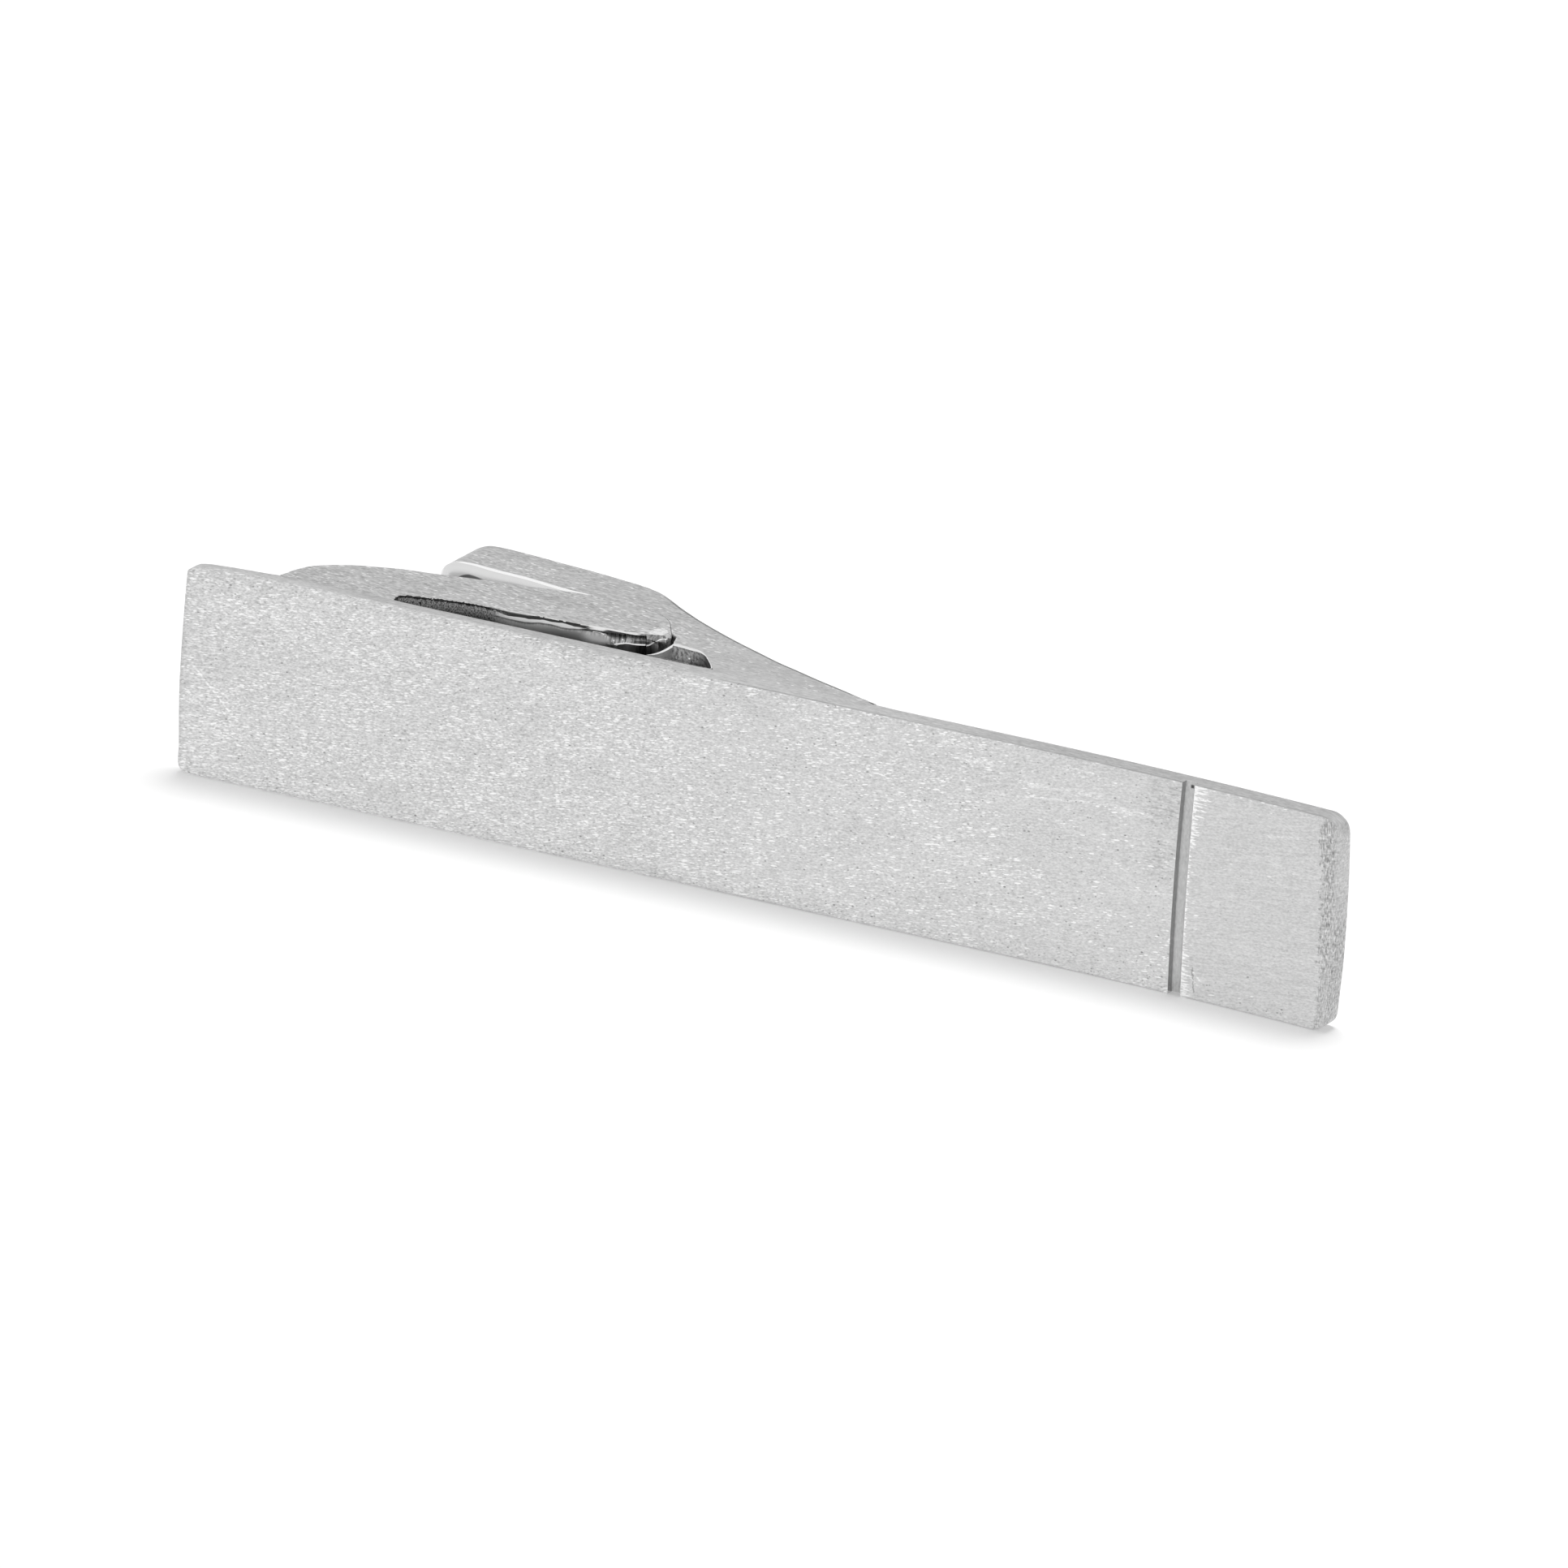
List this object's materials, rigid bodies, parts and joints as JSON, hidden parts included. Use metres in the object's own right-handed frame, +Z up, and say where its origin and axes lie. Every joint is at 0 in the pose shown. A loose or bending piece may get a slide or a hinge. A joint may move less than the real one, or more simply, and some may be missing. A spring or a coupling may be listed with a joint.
{
  "type": "tie bar",
  "caption": "Flat brushed-silver tie bar with a narrow groove across its face and a two-armed spring clip behind it, standing on its long edge.",
  "frame": {"origin": "under the middle of the whole outline, on the surface that the bar's long lower edge stands on", "axes": "+X along the bar towards the end with the groove, -Y the way the bar's face looks, so that the clip is behind it, and +Z up along the bar's width"},
  "size_m": [0.05, 0.0102, 0.0085],
  "materials": {
    "brushed_silver": "silver, brushed along the bar's length, with small scratches and rubbed corners",
    "silver_solder": "silver solder, dull and a little rough"
  },
  "bodies": {
    "bar": {"face_plate": "brushed_silver", "tongue_solder": "silver_solder", "tongue_root": "brushed_silver", "arm_solder": "silver_solder", "arm_root": "brushed_silver"},
    "tongue": {"spring_tongue": "brushed_silver"},
    "arm": {"spring_arm": "brushed_silver"}
  },
  "joints": [
    {"name": "tongue_flex", "type": "hinge", "parent": "bar", "child": "tongue", "pos_m": [-0.0157, -0.00089, 0.00425], "axis": [0, 0, -1], "range_deg": [0, 3.5], "stiffness_Nm_per_rad": 0.01},
    {"name": "arm_flex", "type": "hinge", "parent": "bar", "child": "arm", "pos_m": [-0.00453, -0.00063, 0.00425], "axis": [0, 0, -1], "range_deg": [0, 5], "stiffness_Nm_per_rad": 0.01}
  ]
}
